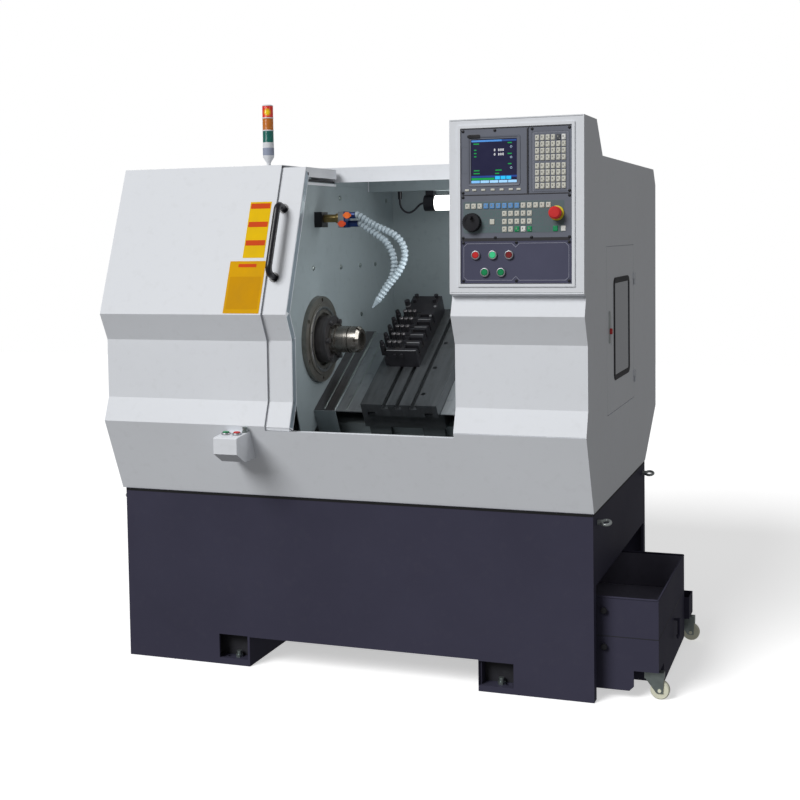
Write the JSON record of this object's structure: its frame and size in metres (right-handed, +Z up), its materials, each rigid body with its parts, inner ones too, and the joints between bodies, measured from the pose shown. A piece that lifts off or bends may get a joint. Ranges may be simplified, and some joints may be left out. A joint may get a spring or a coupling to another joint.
{
  "type": "cnc turning lathe",
  "caption": "Slant-bed CNC turning lathe with a sliding guard door, gang tool slide, collet chuck, control panel and a chip cart drawn out of its dark base",
  "frame": {"origin": "Centre of the four floor anchor holes, on the floor", "axes": "X along the spindle towards the control column, Y from the front to the back, Z up"},
  "size_m": [1.765, 1.359, 1.769],
  "materials": {
    "base_paint": "satin dark slate paint",
    "guard_paint": "satin light grey paint",
    "liner_paint": "satin grey paint",
    "casting_paint": "painted casting",
    "bed_iron": "ground cast iron",
    "zinc": "zinc plated",
    "ground_steel": "ground steel",
    "slide_steel": "ground steel, oiled",
    "black_oxide": "black oxide",
    "motor_paint": "dark motor paint",
    "belt_rubber": "black rubber",
    "bezel_plastic": "textured grey plastic",
    "screen_glass": "dark display",
    "key_plastic": "keycap plastic",
    "panel_paint": "matt blue-grey paint",
    "bright_collar": "plated collars",
    "tower_plastic": "pale grey plastic",
    "tower_colour": "tinted lenses",
    "valve_brass": "brass fittings",
    "line_plastic": "pale segmented hose",
    "lamp_body": "black lamp housing",
    "handle_plastic": "black plastic",
    "wheel_plastic": "cream polyurethane",
    "red_plastic": "red cap",
    "green_plastic": "green cap",
    "lever_paint": "orange lever",
    "window_glass": "tinted pane"
  },
  "bodies": {
    "machine": {"base_cabinet": "base_paint", "levelling_bolts": "zinc", "lifting_eyes": "zinc", "slant_bed": "bed_iron", "headstock": "casting_paint", "bearing_cap": "ground_steel", "spindle_bearings": "ground_steel", "spindle_motor": "motor_paint", "drive_belt": "belt_rubber", "z_servo_motor": "motor_paint", "front_cover": "guard_paint", "right_cover": "guard_paint", "rear_cover": "guard_paint", "inner_walls": "liner_paint", "panel_frame": "guard_paint", "cnc_bezel": "bezel_plastic", "lcd_screen": "screen_glass", "keypad_keys": "key_plastic", "button_plate": "panel_paint", "button_collars": "bright_collar", "switch_box": "guard_paint", "tower_body": "tower_plastic", "tower_lenses": "tower_colour", "coolant_manifold": "valve_brass", "coolant_lines": "line_plastic", "work_lamp": "lamp_body", "lamp_cable": "belt_rubber"},
    "sliding_door": {"door": "guard_paint", "door_handle": "handle_plastic"},
    "spindle_body": {"spindle": "black_oxide", "collet_chuck": "ground_steel"},
    "motor_shaft": {"motor_pulley": "black_oxide"},
    "carriage": {"saddle": "bed_iron", "way_covers": "slide_steel", "x_servo_motor": "motor_paint"},
    "z_screw": {"z_ballscrew": "ground_steel"},
    "tool_slide": {"cross_slide": "slide_steel", "tool_block": "black_oxide", "tool_bits": "ground_steel"},
    "x_screw": {"x_ballscrew": "ground_steel"},
    "cart": {"chip_bin": "base_paint", "coolant_tank": "base_paint", "coolant_pump": "motor_paint"},
    "fork_front": {"caster_fork_front": "zinc"},
    "fork_rear": {"caster_fork_rear": "zinc"},
    "wheel_front": {"caster_wheel_front": "wheel_plastic"},
    "wheel_rear": {"caster_wheel_rear": "wheel_plastic"},
    "push_1": {"button_1": "red_plastic"},
    "push_2": {"button_2": "green_plastic"},
    "push_3": {"button_3": "red_plastic"},
    "push_4": {"button_4": "green_plastic"},
    "push_5": {"button_5": "green_plastic"},
    "estop": {"estop_button": "red_plastic"},
    "pulse": {"pulse_wheel": "handle_plastic"},
    "start_switch": {"switch_green": "green_plastic"},
    "stop_switch": {"switch_red": "red_plastic"},
    "lever_1": {"valve_lever_1": "lever_paint"},
    "lever_2": {"valve_lever_2": "lever_paint"},
    "access_door": {"side_door": "guard_paint", "side_window": "window_glass"}
  },
  "joints": [
    {"name": "door_slide", "type": "slide", "parent": "machine", "child": "sliding_door", "axis": [1, 0, 0], "range_m": [0, 0.5125]},
    {"name": "spindle_spin", "type": "hinge", "parent": "machine", "child": "spindle_body", "pos_m": [-0.3975, -0.271, 1.012], "axis": [1, 0, 0], "continuous": true},
    {"name": "motor_spin", "type": "hinge", "parent": "machine", "child": "motor_shaft", "pos_m": [-0.7325, 0.303, 0.7], "axis": [1, 0, 0], "continuous": true},
    {"name": "z_slide", "type": "slide", "parent": "machine", "child": "carriage", "axis": [1, 0, 0], "range_m": [-0.015, 0.2]},
    {"name": "z_screw_spin", "type": "hinge", "parent": "machine", "child": "z_screw", "pos_m": [0.1025, -0.09371, 0.83492], "axis": [1, 0, 0], "range_deg": [-600, 7300]},
    {"name": "x_slide", "type": "slide", "parent": "carriage", "child": "tool_slide", "axis": [0, 0.866, 0.5], "range_m": [-0.08, 0.08]},
    {"name": "x_screw_spin", "type": "hinge", "parent": "carriage", "child": "x_screw", "pos_m": [0.095, -0.173, 0.84226], "axis": [0, 0.866, 0.5], "range_deg": [-2900, 2900]},
    {"name": "cart_slide", "type": "slide", "parent": "machine", "child": "cart", "axis": [1, 0, 0], "range_m": [-0.17, 0.35]},
    {"name": "fork_front_swivel", "type": "hinge", "parent": "cart", "child": "fork_front", "pos_m": [0.8575, -0.365, 0.07], "axis": [0, 0, 1], "continuous": true},
    {"name": "fork_rear_swivel", "type": "hinge", "parent": "cart", "child": "fork_rear", "pos_m": [0.8735, 0.211, 0.07], "axis": [0, 0, 1], "continuous": true},
    {"name": "wheel_front_spin", "type": "hinge", "parent": "fork_front", "child": "wheel_front", "pos_m": [0.8825, -0.365, 0.0277], "axis": [0, 1, 0], "continuous": true},
    {"name": "wheel_rear_spin", "type": "hinge", "parent": "fork_rear", "child": "wheel_rear", "pos_m": [0.8985, 0.211, 0.0277], "axis": [0, 1, 0], "continuous": true},
    {"name": "push_1_press", "type": "slide", "parent": "machine", "child": "push_1", "axis": [0, 0.9994, -0.0349], "range_m": [0, 0.004], "stiffness_N_per_m": 400},
    {"name": "push_2_press", "type": "slide", "parent": "machine", "child": "push_2", "axis": [0, 0.9994, -0.0349], "range_m": [0, 0.004], "stiffness_N_per_m": 400},
    {"name": "push_3_press", "type": "slide", "parent": "machine", "child": "push_3", "axis": [0, 0.9994, -0.0349], "range_m": [0, 0.004], "stiffness_N_per_m": 400},
    {"name": "push_4_press", "type": "slide", "parent": "machine", "child": "push_4", "axis": [0, 0.9994, -0.0349], "range_m": [0, 0.004], "stiffness_N_per_m": 400},
    {"name": "push_5_press", "type": "slide", "parent": "machine", "child": "push_5", "axis": [0, 0.9994, -0.0349], "range_m": [0, 0.004], "stiffness_N_per_m": 400},
    {"name": "estop_press", "type": "slide", "parent": "machine", "child": "estop", "axis": [0, 0.9994, -0.0349], "range_m": [0, 0.006]},
    {"name": "pulse_spin", "type": "hinge", "parent": "machine", "child": "pulse", "pos_m": [0.3975, -0.56005, 1.36788], "axis": [0, -0.9994, 0.0349], "continuous": true},
    {"name": "start_press", "type": "slide", "parent": "machine", "child": "start_switch", "axis": [0, 0, -1], "range_m": [0, 0.004], "stiffness_N_per_m": 400},
    {"name": "stop_press", "type": "slide", "parent": "machine", "child": "stop_switch", "axis": [0, 0, -1], "range_m": [0, 0.004], "stiffness_N_per_m": 400},
    {"name": "lever_1_turn", "type": "hinge", "parent": "machine", "child": "lever_1", "pos_m": [-0.0855, -0.292, 1.4], "axis": [0, -1, 0], "range_deg": [0, 90]},
    {"name": "lever_2_turn", "type": "hinge", "parent": "machine", "child": "lever_2", "pos_m": [-0.1035, -0.292, 1.374], "axis": [0, -1, 0], "range_deg": [0, 90]},
    {"name": "access_hinge", "type": "hinge", "parent": "machine", "child": "access_door", "pos_m": [0.717, 0.234, 1], "axis": [0, 0, 1], "range_deg": [0, 110]}
  ],
  "couplings": [
    {"joint": "motor_spin", "follows": "spindle_spin", "ratio": 1.4615},
    {"joint": "z_screw_spin", "follows": "z_slide", "rad_per_m": 628.32},
    {"joint": "x_screw_spin", "follows": "x_slide", "rad_per_m": 628.32}
  ]
}
